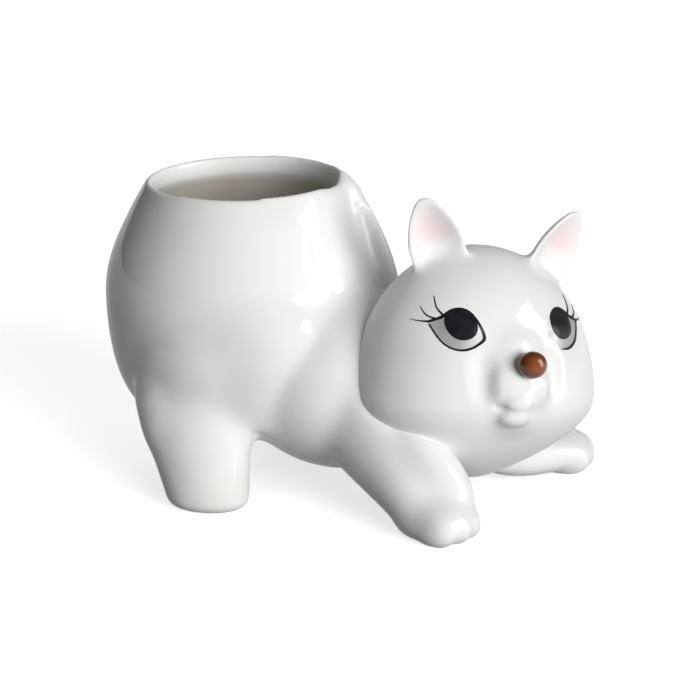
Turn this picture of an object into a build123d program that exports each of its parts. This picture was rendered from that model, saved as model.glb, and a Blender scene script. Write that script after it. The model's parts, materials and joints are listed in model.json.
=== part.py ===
from build123d import *
import os

# Glazed earthenware planter in the shape of a crouching animal. Millimetres.
# The table is z = 0, the animal heads along +X and its left side is towards +Y.
# Each casting is cut by the one it is luted to, so that the two meet face to face.

# Pot in the rump, measured from the table and from the middle of the animal's rump
POT_DIAMETER = 104.0
POT_REACH = -2.0
POT_BELLY_LEVEL = 68.5
POT_CROWN_RISE = 71.5
POT_BASE_LEVEL = 13.0
POT_CROWN_FULLNESS = 0.42
POT_BASE_FULLNESS = 0.76
POT_LEAN = 2.0
MOUTH_DIAMETER = 70.0
WALL = 4.5
FLOOR = 6.0
COLLAR_DEPTH = 7.0
RIM_ROUND = 1.2
DRAIN_DIAMETER = 9.0

# Haunches swelling from the sides of the pot
HAUNCH_LENGTH = 64.0
HAUNCH_WIDTH = 44.0
HAUNCH_HEIGHT = 64.0
HAUNCH_REACH = 4.0
HAUNCH_SPREAD = 34.0
HAUNCH_LEVEL = 49.0
HAUNCH_CREASE = 8.0

# Chest in front of the pot
CHEST_LENGTH = 84.0
CHEST_WIDTH = 94.0
CHEST_HEIGHT = 70.0
CHEST_REACH = 44.0
CHEST_LEVEL = 41.0
CHEST_CREASE = 12.0

# Ridge of the back, from the pot's mouth down to the neck
RIDGE_THICKNESS = 41.0
RIDGE_WIDTH = 18.0
RIDGE_LENGTH = 78.0
RIDGE_REACH = 32.5
RIDGE_OFFSET = 13.0
RIDGE_LEVEL = 84.0
RIDGE_SLOPE = 29.0
RIDGE_CREASE = 3.0

# Head, measured from its own centre; crown and jaw from the widest ring, at the cheeks
HEAD_AHEAD_OF_CHEST = 52.0
HEAD_REACH = CHEST_REACH + HEAD_AHEAD_OF_CHEST
HEAD_OFFSET = -2.0
HEAD_LEVEL = 47.0
HEAD_TURN = 38.0
HEAD_LIFT = 12.0
HEAD_TILT = 6.5
HEAD_DEPTH = 72.0
HEAD_WIDTH = 90.4
CROWN_RISE = 56.2
JAW_DROP = 30.0
CHEEK_RISE = -7.0
CROWN_FULLNESS = 0.57
JAW_SIDE_FULLNESS = 0.46
JAW_BASE_FULLNESS = 0.15

# Muzzle
BRIDGE_LENGTH = 28.0
BRIDGE_WIDTH = 19.0
BRIDGE_HEIGHT = 30.0
BRIDGE_REACH = 33.0
BRIDGE_RISE = 8.0
CHIN_LENGTH = 28.0
CHIN_WIDTH = 38.0
CHIN_HEIGHT = 19.0
CHIN_REACH = 27.5
CHIN_RISE = -8.5
LIP_PAD_DIAMETER = 11.5
LIP_PAD_REACH = 40.0
LIP_PAD_SPREAD = 5.2
LIP_PAD_RISE = -1.0
LOWER_LIP_LENGTH = 12.0
LOWER_LIP_WIDTH = 14.0
LOWER_LIP_HEIGHT = 9.0
LOWER_LIP_REACH = 39.0
LOWER_LIP_RISE = -8.0

# Nose button
NOSE_LENGTH = 9.0
NOSE_WIDTH = 11.4
NOSE_HEIGHT = 9.4
NOSE_REACH = 46.6
NOSE_RISE = 7.1

# Ears, measured in the plane of the ear from the middle of its root
EAR_HEIGHT = 23.5
EAR_WIDTH = 17.5
EAR_ROOT_DEPTH = 10.0
EAR_ROOT_SHARE = 0.8
EAR_SWELL = 1.35
EAR_SWELL_LEVEL = 0.25
EAR_TIP_SHARE = 0.75
EAR_THICKNESS = 2.4
EAR_CUP_WIDTH = 26.0
EAR_CUP_HEIGHT = 60.0
EAR_CUP_DEPTH = 20.0
EAR_REACH = 11.0
EAR_SPREAD = 22.0
EAR_RISE = 42.0
EAR_SPLAY = 25.0
EAR_FORWARD = 10.0
LINING_MARGIN = 1.8
LINING_THICKNESS = 0.4

# Painted eyes, measured from the face's middle line
EYE_SPREAD = 20.5
EYE_RISE = 21.0
PUPIL_DIAMETER = 10.8
EYE_OUTER_CORNER = (10.0, 0.6)
EYE_INNER_CORNER = (-7.8, -5.3)
UPPER_LID = ((3.0, 4.5), (-1.0, 6.0), (-4.5, 3.6))
LOWER_LID = ((7.2, -6.1), (0.5, -9.4))
LID_STROKE = 0.8
LASH_STROKE = 0.7
LASH_ROOTS = ((9.9, 0.6), (7.2, 1.5), (5.2, 2.6))
LASH_AIMS = (14, 62, 88)
LASH_LENGTHS = (4.0, 5.0, 7.6)
PAINT_THICKNESS = 0.3

# Front legs
SHOULDER_REACH = 58.0
SHOULDER_SPREAD = 26.0
SHOULDER_LEVEL = 40.0
SHOULDER_HEIGHT = 46.0
SHOULDER_WIDTH = 30.0
FOREARM_HEIGHT = 34.0
FOREARM_WIDTH = 27.0
WRIST_REACH = 101.0
RIGHT_WRIST_SET_BACK = 6.0
WRIST_SPREAD = 44.0
WRIST_LEVEL = 9.5
WRIST_HEIGHT = 20.0
WRIST_WIDTH = 24.0
PAW_LENGTH = 33.0
PAW_WIDTH = 25.0
PAW_HEIGHT = 18.0
PAW_LEVEL = 7.0
PAW_SPLAY = 16.0
TOE_COUNT = 3
TOE_LENGTH = 20.0
TOE_WIDTH = 11.5
TOE_HEIGHT = 14.0
TOE_LEVEL = 6.0
TOE_OVERHANG = 1.5
OUTER_TOE_SET_BACK = 1.2

# Hind legs
STIFLE_LEVEL = 38.0
STIFLE_REACH = -1.0
STIFLE_SPREAD = 38.0
STIFLE_LENGTH = 50.0
STIFLE_WIDTH = 36.0
HOCK_LEVEL = 16.0
HOCK_REACH = 7.0
HOCK_SPREAD = 49.0
HOCK_LENGTH = 38.0
HOCK_WIDTH = 30.0
FOOT_REACH = 14.0
FOOT_SPREAD = 55.0
FOOT_LENGTH = 31.0
FOOT_WIDTH = 26.0
FOOT_ROUND = 5.0

# Tail
TAIL_LENGTH = 15.0
TAIL_WIDTH = 18.0
TAIL_HEIGHT = 23.0
TAIL_SINK = 3.0
TAIL_LEVEL = 44.0

RIGHT = -1
LEFT = 1
SIDES = {"right": RIGHT, "left": LEFT}


def ellipsoid(length, width, height):
    """Ellipsoid about the origin, from its three full sizes."""
    return scale(Sphere(0.5), by=(length, width, height))


def turned(profile):
    """Solid of revolution about Z, from a closed profile in X and Z."""
    return revolve(Plane.XZ * make_face(profile), Axis.Z)


def egg(radius, rise, drop):
    """Egg with its widest ring at z = 0, an elliptic crown and a fuller base."""
    full, flat = POT_CROWN_FULLNESS, POT_BASE_FULLNESS
    crown = Bezier((radius, 0), (radius, full * rise), (full * radius, rise), (0, rise))
    axis = Line((0, rise), (0, -drop))
    base = Bezier((0, -drop), (flat * radius, -drop), (radius, -flat * drop), (radius, 0))
    return turned([crown, axis, base])


def pot_place():
    """Place of the pot's widest ring, leaning back with the animal's rump."""
    return Location((POT_REACH, 0, POT_BELLY_LEVEL), (0, -POT_LEAN, 0))


def pot_form():
    """Outside of the pot with no mouth."""
    return pot_place() * egg(POT_DIAMETER / 2, POT_CROWN_RISE, POT_BELLY_LEVEL - POT_BASE_LEVEL)


def chest_form():
    """Round of the chest in front of the pot."""
    return Pos(CHEST_REACH, 0, CHEST_LEVEL) * ellipsoid(CHEST_LENGTH, CHEST_WIDTH, CHEST_HEIGHT)


def ridge_form():
    """Back ridge, its upper end leaning back over the pot."""
    place = Location((RIDGE_REACH, RIDGE_OFFSET, RIDGE_LEVEL), (0, -RIDGE_SLOPE, 0))
    return place * ellipsoid(RIDGE_THICKNESS, RIDGE_WIDTH, RIDGE_LENGTH)


def haunch_form(side):
    """Swelling of the thigh on one side of the pot."""
    place = Pos(HAUNCH_REACH, side * HAUNCH_SPREAD, HAUNCH_LEVEL)
    return place * ellipsoid(HAUNCH_LENGTH, HAUNCH_WIDTH, HAUNCH_HEIGHT)


def mouth_form():
    """Straight bore of the pot's mouth, from the belly upwards."""
    bore = Cylinder(MOUTH_DIAMETER / 2, 2 * POT_CROWN_RISE, align=(Align.CENTER, Align.CENTER, Align.MIN))
    return pot_place() * bore


def cavity_form():
    """Hollow of the pot, below the collar of its mouth."""
    drop = POT_BELLY_LEVEL - POT_BASE_LEVEL - FLOOR
    return pot_place() * egg(POT_DIAMETER / 2 - WALL, POT_CROWN_RISE - COLLAR_DEPTH, drop)


def blended(form, mass, crease):
    """Two masses in one, with the crease between them rounded."""
    joined = form + mass
    return fillet(new_edges(form, mass, combined=joined), crease)


def trunk_form():
    """Pot, chest and haunches in one, the same on both sides."""
    form = blended(pot_form(), chest_form(), CHEST_CREASE)
    for side in SIDES.values():
        form = blended(form, haunch_form(side), HAUNCH_CREASE)
    return form


def pot_body(body):
    """Body casting: pot, haunches, chest and back, hollow and open at the mouth."""
    casting = body - cavity_form() - mouth_form()
    bore = casting.faces().filter_by(GeomType.CYLINDER)[0]
    casting = fillet(bore.edges().filter_by(GeomType.LINE, reverse=True), RIM_ROUND)
    drain = Cylinder(DRAIN_DIAMETER / 2, POT_BELLY_LEVEL, align=(Align.CENTER, Align.CENTER, Align.MIN))
    return casting - Pos(POT_REACH, 0, 0) * drain


def head_place():
    """Place of the head: turned to the animal's right, lifted and tilted."""
    turn = Rotation(0, 0, -HEAD_TURN)
    lift = Rotation(0, -HEAD_LIFT, 0)
    tilt = Rotation(-HEAD_TILT, 0, 0)
    return Pos(HEAD_REACH, HEAD_OFFSET, HEAD_LEVEL) * turn * lift * tilt


def skull_form(growth=0.0):
    """Round of the head in its own axes, widest at the cheeks, grown outwards."""
    half = HEAD_WIDTH / 2 + growth
    rise = CROWN_RISE + growth
    drop = JAW_DROP + growth
    crown = Bezier((half, 0), (half, CROWN_FULLNESS * rise), (CROWN_FULLNESS * half, rise), (0, rise))
    axis = Line((0, rise), (0, -drop))
    jaw = Bezier((0, -drop), (JAW_BASE_FULLNESS * half, -drop), (half, -JAW_SIDE_FULLNESS * drop), (half, 0))
    round_head = scale(turned([crown, axis, jaw]), by=((HEAD_DEPTH / 2 + growth) / half, 1, 1))
    return Pos(0, 0, CHEEK_RISE) * round_head


def head_form():
    """Outside of the head in its own axes: skull, bridge, chin and lips."""
    form = skull_form()
    form = form + Pos(BRIDGE_REACH, 0, BRIDGE_RISE) * ellipsoid(BRIDGE_LENGTH, BRIDGE_WIDTH, BRIDGE_HEIGHT)
    form = form + Pos(CHIN_REACH, 0, CHIN_RISE) * ellipsoid(CHIN_LENGTH, CHIN_WIDTH, CHIN_HEIGHT)
    for side in SIDES.values():
        form = form + Pos(LIP_PAD_REACH, side * LIP_PAD_SPREAD, LIP_PAD_RISE) * Sphere(LIP_PAD_DIAMETER / 2)
    lip = ellipsoid(LOWER_LIP_LENGTH, LOWER_LIP_WIDTH, LOWER_LIP_HEIGHT)
    return form + Pos(LOWER_LIP_REACH, 0, LOWER_LIP_RISE) * lip


def head_casting(head, body):
    """Hollow head, its open back luted to the chest."""
    return head_place() * (head - skull_form(-WALL)) - body


def nose_button(head):
    """Oval button let into the end of the bridge."""
    button = Pos(NOSE_REACH, 0, NOSE_RISE) * ellipsoid(NOSE_LENGTH, NOSE_WIDTH, NOSE_HEIGHT)
    return head_place() * (button - head)


def ear_place(side):
    """Plane of an ear in the head's axes: X outwards, Y to the tip, Z to the front."""
    root = Pos(EAR_REACH, side * EAR_SPREAD, EAR_RISE)
    lean = Rotation(-side * EAR_SPLAY, 0, 0) * Rotation(0, EAR_FORWARD, 0)
    return root * lean * Location(Plane((0, 0, 0), x_dir=(0, 1, 0), z_dir=(1, 0, 0)))


def ear_outline(margin=0.0):
    """Leaf outline of an ear from its buried root to its round tip, less a margin."""
    half = EAR_WIDTH / 2 - margin
    top = EAR_HEIGHT - margin
    root = (EAR_ROOT_SHARE * half, -EAR_ROOT_DEPTH)
    swell = (EAR_SWELL * half, EAR_SWELL_LEVEL * top)
    edge = Bezier(root, swell, (EAR_TIP_SHARE * half, top), (0, top))
    other_edge = mirror(edge, Plane.YZ)
    return make_face([edge, other_edge, Line(edge @ 0, other_edge @ 0)])


def ear_cup(inset):
    """Bowl that an ear is hollowed around, its open side to the front."""
    size = [full - 2 * inset for full in (EAR_CUP_WIDTH, EAR_CUP_HEIGHT, EAR_CUP_DEPTH)]
    return Pos(0, EAR_HEIGHT / 3, EAR_CUP_DEPTH / 2 - EAR_THICKNESS / 2) * ellipsoid(*size)


def ear_prism(outline):
    """Outline carried back through the bowl from its widest place."""
    return Pos(0, 0, EAR_CUP_DEPTH / 2 - EAR_THICKNESS / 2) * extrude(outline, amount=-EAR_CUP_DEPTH)


def ear_shell(side, head):
    """Cupped ear standing on the crown."""
    shell = ear_prism(ear_outline()) & (ear_cup(0) - ear_cup(EAR_THICKNESS))
    return head_place() * (ear_place(side) * shell - head)


def ear_lining(side, head):
    """Coloured glaze inside the cup of an ear."""
    skin = ear_prism(ear_outline(LINING_MARGIN)) & ear_cup(EAR_THICKNESS)
    skin = skin - ear_cup(EAR_THICKNESS + LINING_THICKNESS)
    return head_place() * (ear_place(side) * skin - head)


def eye_sketch_place(side):
    """Plane ahead of the face, X outwards from the middle line and Y up."""
    front = Plane((HEAD_DEPTH, side * EYE_SPREAD, EYE_RISE), x_dir=(0, side, 0), z_dir=(side, 0, 0))
    return Location(front)


def paint(sketch, side):
    """Thin coat of enamel where a sketch falls on the front of the head."""
    coat = skull_form(PAINT_THICKNESS) - skull_form()
    beam = extrude(eye_sketch_place(side) * sketch, amount=-side * HEAD_DEPTH)
    return head_place() * (beam & coat)


def lid_curves():
    """Upper and lower lid, from the outer to the inner corner."""
    upper = Spline(EYE_OUTER_CORNER, *UPPER_LID, EYE_INNER_CORNER)
    lower = Spline(EYE_OUTER_CORNER, *LOWER_LID, EYE_INNER_CORNER)
    return upper, lower


def lash_curves():
    """Lashes that sweep outwards and up from the upper lid."""
    curves = []
    for root, aim, length in zip(LASH_ROOTS, LASH_AIMS, LASH_LENGTHS):
        tip = Vector(*root) + Vector(length, 0).rotate(Axis.Z, aim)
        curves.append(Line(root, tip))
    return curves


def pupil(side):
    """Round pupil."""
    return paint(Circle(PUPIL_DIAMETER / 2), side)


def eye_lines(side):
    """Lid outline and lashes."""
    upper, lower = lid_curves()
    lines = trace(upper, line_width=LID_STROKE) + trace(lower, line_width=LID_STROKE)
    for lash in lash_curves():
        lines = lines + trace(lash, line_width=LASH_STROKE)
    return paint(lines - Circle(PUPIL_DIAMETER / 2), side)


def above_table(form):
    """Part of a form that stands above the table."""
    return split(form, bisect_by=Plane.XY, keep=Keep.TOP)


def mirrored(form, side):
    """Form modelled for the left side, mirrored for the right one."""
    return form if side == LEFT else mirror(form, Plane.XZ)


def limb_form(wrist):
    """Left shoulder and forearm, tapering down to the wrist."""
    shoulder = Vector(SHOULDER_REACH, SHOULDER_SPREAD, SHOULDER_LEVEL)
    run = wrist - shoulder
    forearm = Plane(shoulder + run / 2, x_dir=(0, 1, 0), z_dir=run)
    sections = [
        Plane(shoulder, x_dir=(0, 1, 0), z_dir=run) * Ellipse(SHOULDER_WIDTH / 2, SHOULDER_HEIGHT / 2),
        forearm * Ellipse(FOREARM_WIDTH / 2, FOREARM_HEIGHT / 2),
        Plane(wrist, x_dir=(0, 1, 0), z_dir=run) * Ellipse(WRIST_WIDTH / 2, WRIST_HEIGHT / 2),
    ]
    cap = ellipsoid(WRIST_WIDTH, WRIST_HEIGHT, WRIST_HEIGHT)
    return loft(sections) + Location(Plane(wrist, x_dir=(0, 1, 0), z_dir=run)) * cap


def paw_form():
    """Paw with its toes, ahead of the wrist and level with the table's axes."""
    middle = PAW_LENGTH / 6
    form = Pos(middle, 0, PAW_LEVEL) * ellipsoid(PAW_LENGTH, PAW_WIDTH, PAW_HEIGHT)
    tip = middle + PAW_LENGTH / 2 + TOE_OVERHANG
    for toe in range(TOE_COUNT):
        place = 2 * toe / (TOE_COUNT - 1) - 1
        across = place * (PAW_WIDTH - TOE_WIDTH) / 2
        ahead = tip - TOE_LENGTH / 2 - OUTER_TOE_SET_BACK * place**2
        form = form + Pos(ahead, across, TOE_LEVEL) * ellipsoid(TOE_LENGTH, TOE_WIDTH, TOE_HEIGHT)
    return form


def front_leg_form(reach):
    """Left front leg, its wrist at a reach along the animal."""
    limb = limb_form(Vector(reach, WRIST_SPREAD, WRIST_LEVEL))
    paw = Location((reach, WRIST_SPREAD, 0), (0, 0, PAW_SPLAY)) * paw_form()
    return above_table(limb + paw)


def front_leg(side, trunk, head):
    """Front leg luted to the side of the chest, the right one drawn back a little."""
    reach = WRIST_REACH if side == LEFT else WRIST_REACH - RIGHT_WRIST_SET_BACK
    return mirrored(front_leg_form(reach) - trunk, side) - head


def hind_leg_form():
    """Left hind leg, a tapering stump on a round foot."""
    stifle = Plane((STIFLE_REACH, STIFLE_SPREAD, STIFLE_LEVEL)) * Ellipse(STIFLE_LENGTH / 2, STIFLE_WIDTH / 2)
    hock = Plane((HOCK_REACH, HOCK_SPREAD, HOCK_LEVEL)) * Ellipse(HOCK_LENGTH / 2, HOCK_WIDTH / 2)
    sole = Plane((FOOT_REACH, FOOT_SPREAD, 0)) * Ellipse(FOOT_LENGTH / 2, FOOT_WIDTH / 2)
    form = loft([sole, hock, stifle])
    return fillet(form.edges().sort_by(Axis.Z)[0], FOOT_ROUND)


def hind_leg(side, trunk):
    """Hind leg luted under the haunch."""
    return mirrored(hind_leg_form() - trunk, side)


def tail(body):
    """Short scut on the back of the pot."""
    place = Pos(POT_REACH + TAIL_SINK - POT_DIAMETER / 2, 0, TAIL_LEVEL)
    return place * ellipsoid(TAIL_LENGTH, TAIL_WIDTH, TAIL_HEIGHT) - body


def build_nodes():
    """Every casting and painted piece, by name."""
    trunk = trunk_form()
    body = blended(trunk, ridge_form(), RIDGE_CREASE)
    head = head_form()
    placed_head = head_place() * head
    nodes = {"pot_body": pot_body(body), "head": head_casting(head, body)}
    nodes["nose"] = nose_button(head)
    nodes["tail"] = tail(body)
    for name, side in SIDES.items():
        nodes[f"{name}_ear"] = ear_shell(side, head)
        nodes[f"{name}_ear_lining"] = ear_lining(side, head)
        nodes[f"{name}_eye_pupil"] = pupil(side)
        nodes[f"{name}_eye_lines"] = eye_lines(side)
        nodes[f"{name}_front_leg"] = front_leg(side, trunk, placed_head)
        nodes[f"{name}_hind_leg"] = hind_leg(side, trunk)
    return nodes


def main():
    """Moves the model over the middle of its footprint and writes one file per node."""
    nodes = build_nodes()
    box = Compound(children=[Compound(node.solids()) for node in nodes.values()]).bounding_box()
    centred = Pos(-box.center().X, -box.center().Y, -box.min.Z)
    os.makedirs("parts", exist_ok=True)
    for name, node in nodes.items():
        export_step(centred * Compound(node.solids()), f"parts/{name}.step")
    print("moved by", [round(value, 2) for value in centred.position])


main()
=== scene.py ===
import json
import math

import bpy
from mathutils import Euler, Matrix, Vector

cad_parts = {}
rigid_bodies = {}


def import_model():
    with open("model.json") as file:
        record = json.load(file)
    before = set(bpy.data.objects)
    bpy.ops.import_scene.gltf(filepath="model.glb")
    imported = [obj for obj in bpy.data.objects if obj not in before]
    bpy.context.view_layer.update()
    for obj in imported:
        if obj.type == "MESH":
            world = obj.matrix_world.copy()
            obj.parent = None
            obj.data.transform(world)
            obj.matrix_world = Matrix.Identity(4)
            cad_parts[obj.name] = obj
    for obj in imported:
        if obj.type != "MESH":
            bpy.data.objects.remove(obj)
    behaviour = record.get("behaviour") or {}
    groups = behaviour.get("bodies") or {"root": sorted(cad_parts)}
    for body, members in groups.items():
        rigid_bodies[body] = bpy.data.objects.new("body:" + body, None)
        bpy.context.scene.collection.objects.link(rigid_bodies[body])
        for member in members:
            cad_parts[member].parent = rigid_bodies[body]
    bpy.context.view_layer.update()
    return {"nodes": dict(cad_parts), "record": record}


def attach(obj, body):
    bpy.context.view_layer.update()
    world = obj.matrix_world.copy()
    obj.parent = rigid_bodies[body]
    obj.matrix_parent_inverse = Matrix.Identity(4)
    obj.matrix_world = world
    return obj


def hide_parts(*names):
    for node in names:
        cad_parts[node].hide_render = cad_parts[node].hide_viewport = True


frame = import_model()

bl_info = {
    "name": "Glazed Animal Planter",
    "version": (1, 0, 0),
    "blender": (4, 5, 0),
    "location": "3D View > Sidebar > Planter",
    "description": "Dresses the castings of a crouching animal planter in glaze and enamel",
    "category": "Object",
}

MM = 0.001
# sign of Y on each side of the animal
SIDES = {"right": -1, "left": 1}
LIMBS = ("tail", "right_front_leg", "left_front_leg", "right_hind_leg", "left_hind_leg")
# points nearer than this, in metres, count as one
SAME_POINT = 1e-6

# the pot's axis goes up through the drain, and the skull's middle lies ahead of it
OPENINGS = {opening["name"]: opening["box_m"] for opening in frame["record"]["physics"]["openings"]}
DRAIN_LOW, DRAIN_HIGH = OPENINGS["drain"]
POT_AXIS = (DRAIN_LOW[0] + DRAIN_HIGH[0]) / 2
HEAD_AHEAD = 0.098


def length(name, description, default):
    """A size in metres that the sidebar shows in the scene's unit."""
    return bpy.props.FloatProperty(
        name=name, description=description, default=default, unit="LENGTH", precision=5
    )


def angle(name, description, degrees):
    """An angle, given in degrees."""
    return bpy.props.FloatProperty(
        name=name, description=description, default=math.radians(degrees), subtype="ANGLE"
    )


def glaze_colour(name, description, hex_code):
    """A colour, given as an sRGB hex value."""
    return bpy.props.FloatVectorProperty(
        name=name,
        description=description,
        default=linear(hex_code)[:3],
        size=3,
        min=0,
        max=1,
        subtype="COLOR",
    )


def linear(hex_code):
    """Linear RGBA of an sRGB hex value."""
    channels = [int(hex_code[i:i + 2], 16) / 255 for i in (0, 2, 4)]
    return tuple(c / 12.92 if c <= 0.04045 else ((c + 0.055) / 1.055) ** 2.4 for c in channels) + (1.0,)


class PlanterSizes(bpy.types.PropertyGroup):
    """Sizes of the dressed castings."""

    head_centre: bpy.props.FloatVectorProperty(
        name="Head centre",
        description="Middle of the skull, from which the face is laid out",
        default=(POT_AXIS + HEAD_AHEAD, -0.002, 0.047),
        subtype="TRANSLATION",
        precision=5,
    )
    head_turn: angle("Head turn", "How far the head looks to the animal's right", 38)
    head_lift: angle("Head lift", "How far the face looks up", 12)
    head_tilt: angle("Head tilt", "How far the head leans to its right, or below 0 to its left", -6.5)
    head_depth: length("Head depth", "Skull from back to front, without the muzzle", 0.072)
    head_width: length("Head width", "Skull from side to side, at the cheeks", 0.0936)
    cheek_drop: length("Cheek drop", "How far the cheeks lie below the head's centre", 0.007)
    crown_rise: length("Crown", "Height of the crown above the cheeks", 0.0562)
    jaw_drop: length("Jaw", "Depth of the jaw below the cheeks", 0.0305)
    body_grain: length("Body grain", "Spacing of the mesh of the body", 0.00105)
    head_grain: length("Head grain", "Spacing of the mesh of the head", 0.00075)
    slip_seam: length("Slip seam", "Slip that swells each limb where it is luted on", 0.0003)
    enamel_coat: length("Enamel coat", "Thickness of the painted lines", 0.00018)
    wash_coat: length("Wash coat", "Thickness of the pink glaze in the ears", 0.00008)


class PlanterColours(bpy.types.PropertyGroup):
    """Colours of the glazes and the enamel."""

    white: glaze_colour("White", "White glaze where it lies thick", "F0F0EF")
    thin_white: glaze_colour("Thin white", "White glaze where it runs thin", "E7E5E1")
    # inside the pot: thin swilled glaze together with painted shade that darkens the cavity below the
    # collar
    swill_and_shade: glaze_colour("Swilled", "Tint inside the pot, where thin glaze was swilled round", "E2DCD2")
    # grey laid on the white of each eye, strongest at its outer corner
    eye_shade: glaze_colour("Eye shade", "Tint sprayed on the white of the eyes", "B9B9BE")
    pink: glaze_colour("Pink", "Pink glaze in the middle of an ear", "F1DADB")
    brown: glaze_colour("Brown", "Brown glaze at the middle of the nose", "86451F")
    # painted shade: the brown is darkened round the rim of the nose, where its edge turns away
    shaded_brown: glaze_colour("Dark brown", "Brown glaze round the rim of the nose", "54250F")
    black: glaze_colour("Black", "Black enamel of the eyes", "15171B")
    thin_black: glaze_colour("Thin black", "Black enamel where the brush left it thin", "24272C")


def sizes():
    """Sizes set in the sidebar."""
    return bpy.context.scene.planter_sizes


def colour(name):
    """RGBA of a colour set in the sidebar."""
    return (*getattr(bpy.context.scene.planter_colours, name), 1.0)


def node(tree, kind, links=None, stops=(), **settings):
    """One node of a material: settings go to its properties or sockets, links feed its sockets, and
    stops are the positions and colours of a ramp."""
    made = tree.nodes.new(kind)
    for key, value in settings.items():
        if hasattr(made, key):
            setattr(made, key, value)
        else:
            made.inputs[key.replace("_", " ")].default_value = value
    for socket, source in (links or {}).items():
        tree.links.new(source, made.inputs[socket])
    for index, (position, tone) in enumerate(stops):
        made.color_ramp.elements[index].position = position
        made.color_ramp.elements[index].color = tone
    return made


def new_material(name):
    """An empty node material and its tree."""
    material = bpy.data.materials.new(name)
    material.use_nodes = True
    material.node_tree.nodes.clear()
    return material, material.node_tree


# a Mix node's colour sockets, by index because its other kinds of socket have the same names
MIX_FIRST = 6
MIX_SECOND = 7
MIX_RESULT = 2


def glaze_ripple(tree, ripple_mm, depth_mm):
    """Normal of a fired glaze that is not quite level, as it sets in low swells."""
    place = node(tree, "ShaderNodeTexCoord").outputs["Object"]
    swell = node(tree, "ShaderNodeTexNoise", {"Vector": place}, Scale=1 / (ripple_mm * MM), Detail=1.0)
    height = swell.outputs["Fac"]
    bump = node(tree, "ShaderNodeBump", {"Height": height}, Strength=1.0, Distance=depth_mm * MM)
    return bump.outputs["Normal"]


def white_glaze():
    """White tin glaze on slip-cast earthenware, fired glossy: milky, with sharp reflections over a
    soft body colour, a little warmer where it ran thin, and darkened by a tint: thin swilled glaze and
    painted shade inside the pot, and a grey on the whites of the eyes."""
    material, tree = new_material("white_glaze_looks")
    cloud_mm = 45
    place = node(tree, "ShaderNodeTexCoord").outputs["Object"]
    cloud = node(tree, "ShaderNodeTexNoise", {"Vector": place}, Scale=1 / (cloud_mm * MM), Detail=2.0)
    stops = ((0.25, colour("thin_white")), (0.5, colour("white")))
    tone = node(tree, "ShaderNodeValToRGB", {"Fac": cloud.outputs["Fac"]}, stops).outputs["Color"]
    # the tint attribute holds thin swilled glaze with painted shade inside the pot, and the grey on the
    # whites of the eyes
    wash = node(tree, "ShaderNodeAttribute", attribute_name="tint").outputs["Color"]
    tinted = node(
        tree,
        "ShaderNodeMix",
        {MIX_FIRST: tone, MIX_SECOND: wash},
        data_type="RGBA",
        blend_type="MULTIPLY",
        Factor=1.0,
    )
    shader = node(
        tree,
        "ShaderNodeBsdfPrincipled",
        {
            "Base Color": tinted.outputs[MIX_RESULT],
            "Normal": glaze_ripple(tree, ripple_mm=16, depth_mm=0.05),
        },
        Roughness=0.4,
        IOR=1.5,
        Specular_IOR_Level=0.0,
        Coat_Weight=0.5,
        Coat_Roughness=0.03,
        Coat_IOR=1.5,
    )
    node(tree, "ShaderNodeOutputMaterial", {"Surface": shader.outputs["BSDF"]})
    return material


def pink_glaze():
    """Pink glaze brushed into the ears: a wash that thins to white towards the edge of the cup."""
    material, tree = new_material("pink_glaze_looks")
    wash = node(tree, "ShaderNodeAttribute", attribute_name="wash")
    stops = ((0.1, colour("white")), (0.8, colour("pink")))
    tone = node(tree, "ShaderNodeValToRGB", {"Fac": wash.outputs["Fac"]}, stops).outputs["Color"]
    shader = node(
        tree,
        "ShaderNodeBsdfPrincipled",
        {"Base Color": tone, "Normal": glaze_ripple(tree, ripple_mm=9, depth_mm=0.03)},
        Roughness=0.35,
        IOR=1.5,
        Coat_Weight=0.8,
        Coat_Roughness=0.05,
    )
    node(tree, "ShaderNodeOutputMaterial", {"Surface": shader.outputs["BSDF"]})
    return material


def brown_glaze():
    """Brown iron glaze on the nose: deep and wet, with painted shade darkening it round the rim."""
    material, tree = new_material("brown_glaze_looks")
    # painted shade: the brown darkens from the middle of the nose towards its rim
    rim_shade = node(tree, "ShaderNodeAttribute", attribute_name="rim_shade")
    stops = ((0.45, colour("brown")), (1.0, colour("shaded_brown")))
    tone = node(tree, "ShaderNodeValToRGB", {"Fac": rim_shade.outputs["Fac"]}, stops).outputs["Color"]
    shader = node(
        tree,
        "ShaderNodeBsdfPrincipled",
        {"Base Color": tone, "Normal": glaze_ripple(tree, ripple_mm=4, depth_mm=0.03)},
        Roughness=0.25,
        IOR=1.52,
        Specular_IOR_Level=0.2,
        Coat_Weight=0.5,
        Coat_Roughness=0.03,
    )
    node(tree, "ShaderNodeOutputMaterial", {"Surface": shader.outputs["BSDF"]})
    return material


def black_enamel():
    """Black overglaze enamel laid on by brush: blue-black with a soft gloss, a shade lighter where the
    brush left it thin."""
    material, tree = new_material("black_enamel_looks")
    streak_mm = 2.5
    place = node(tree, "ShaderNodeTexCoord").outputs["Object"]
    streak = node(tree, "ShaderNodeTexNoise", {"Vector": place}, Scale=1 / (streak_mm * MM), Detail=2.0)
    stops = ((0.35, colour("black")), (0.8, colour("thin_black")))
    tone = node(tree, "ShaderNodeValToRGB", {"Fac": streak.outputs["Fac"]}, stops).outputs["Color"]
    shader = node(
        tree,
        "ShaderNodeBsdfPrincipled",
        {"Base Color": tone, "Normal": glaze_ripple(tree, ripple_mm=5, depth_mm=0.02)},
        Roughness=0.4,
        IOR=1.5,
        Specular_IOR_Level=0.2,
        Coat_Weight=0.05,
        Coat_Roughness=0.1,
    )
    node(tree, "ShaderNodeOutputMaterial", {"Surface": shader.outputs["BSDF"]})
    return material


MATERIALS = {
    "white_glaze": white_glaze,
    "pink_glaze": pink_glaze,
    "brown_glaze": brown_glaze,
    "black_enamel": black_enamel,
}


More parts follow.
